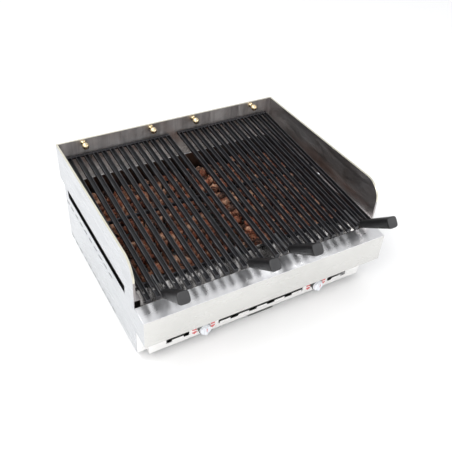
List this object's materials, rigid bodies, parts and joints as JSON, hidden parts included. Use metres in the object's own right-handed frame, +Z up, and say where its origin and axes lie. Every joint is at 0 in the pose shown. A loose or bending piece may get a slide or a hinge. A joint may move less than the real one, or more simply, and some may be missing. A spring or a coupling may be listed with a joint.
{
  "type": "gas charbroiler grill",
  "caption": "Table-top gas charbroiler: sheet-steel cabinet with splash guard, tilting channel-bar grates over lava rock, burners, control knobs and a sliding drip tray.",
  "frame": {"origin": "centre of the footprint, on the surface the feet stand on", "axes": "+X to the user's right, +Y from the front to the back, +Z up"},
  "size_m": [0.8, 0.7658, 0.357],
  "materials": {
    "outer_steel": "fine brushed stainless sheet",
    "polished_steel": "bright-annealed polished stainless sheet",
    "firebox_steel": "mill finish, heat tinted",
    "grate_steel": "blackened steel, satin",
    "grip_plastic": "matt dark grey phenolic",
    "knob_plastic": "white gloss phenolic",
    "dial_print": "brushed plate with red printed marks",
    "brass": "turned brass",
    "gas_steel": "drawn steel tube",
    "lava_rock": "porous reddish-brown volcanic rock",
    "foot_rubber": "moulded black rubber"
  },
  "bodies": {
    "cabinet": {"backsplash": "outer_steel", "base_pan": "outer_steel", "brass_studs": "brass", "burner_left": "gas_steel", "burner_right": "gas_steel", "burner_supports": "firebox_steel", "case_screws": "gas_steel", "control_panel": "outer_steel", "dial_plate_left": "dial_print", "dial_plate_right": "dial_print", "drip_apron": "polished_steel", "firebox_front": "polished_steel", "firebox_left": "firebox_steel", "firebox_rear": "firebox_steel", "firebox_right": "firebox_steel", "foot_front_left": "foot_rubber", "foot_front_right": "foot_rubber", "foot_rear_left": "foot_rubber", "foot_rear_right": "foot_rubber", "front_fascia": "outer_steel", "gas_inlet": "brass", "gas_manifold": "gas_steel", "grate_saddles": "firebox_steel", "grease_trough": "polished_steel", "grid_supports": "firebox_steel", "jet_left": "brass", "jet_right": "brass", "lava_grid_left": "firebox_steel", "lava_grid_right": "firebox_steel", "lava_rocks_left": "lava_rock", "lava_rocks_right": "lava_rock", "rear_panel": "outer_steel", "side_panel_left": "outer_steel", "side_panel_right": "outer_steel", "splash_left": "outer_steel", "splash_right": "outer_steel", "supply_pipe": "gas_steel", "tray_rails": "outer_steel", "valve_left": "brass", "valve_right": "brass"},
    "grate_left": {"grate_feet_left": "grate_steel", "grate_bars_left": "grate_steel", "grate_cross_bars_left": "grate_steel", "handle_rods_left": "grate_steel", "grip_left_1": "grip_plastic", "grip_left_2": "grip_plastic"},
    "grate_right": {"grate_feet_right": "grate_steel", "grate_bars_right": "grate_steel", "grate_cross_bars_right": "grate_steel", "handle_rods_right": "grate_steel", "grip_right_1": "grip_plastic", "grip_right_2": "grip_plastic"},
    "collar_left": {"stem_collar_left": "brass"},
    "collar_right": {"stem_collar_right": "brass"},
    "knob_left": {"knob_left": "knob_plastic", "valve_stem_left": "gas_steel"},
    "knob_right": {"knob_right": "knob_plastic", "valve_stem_right": "gas_steel"},
    "tray": {"drip_tray": "outer_steel"}
  },
  "joints": [
    {"name": "grate_tilt_left", "type": "hinge", "parent": "cabinet", "child": "grate_left", "pos_m": [-0.196, 0.3715, 0.30256], "axis": [-1, 0, 0], "range_deg": [0, 50]},
    {"name": "knob_push_left", "type": "slide", "parent": "cabinet", "child": "collar_left", "axis": [0, 1, 0], "range_m": [0, 0.003], "stiffness_N_per_m": 900, "springref_m": -0.002},
    {"name": "knob_turn_left", "type": "hinge", "parent": "collar_left", "child": "knob_left", "pos_m": [-0.2, -0.25209, 0.05], "axis": [0, 1, 0], "range_deg": [-180, 0]},
    {"name": "grate_tilt_right", "type": "hinge", "parent": "cabinet", "child": "grate_right", "pos_m": [0.196, 0.3715, 0.30256], "axis": [-1, 0, 0], "range_deg": [0, 50]},
    {"name": "knob_push_right", "type": "slide", "parent": "cabinet", "child": "collar_right", "axis": [0, 1, 0], "range_m": [0, 0.003], "stiffness_N_per_m": 900, "springref_m": -0.002},
    {"name": "knob_turn_right", "type": "hinge", "parent": "collar_right", "child": "knob_right", "pos_m": [0.2, -0.25209, 0.05], "axis": [0, 1, 0], "range_deg": [-180, 0]},
    {"name": "tray_slide", "type": "slide", "parent": "cabinet", "child": "tray", "axis": [0, -1, 0], "range_m": [0, 0.42]}
  ]
}
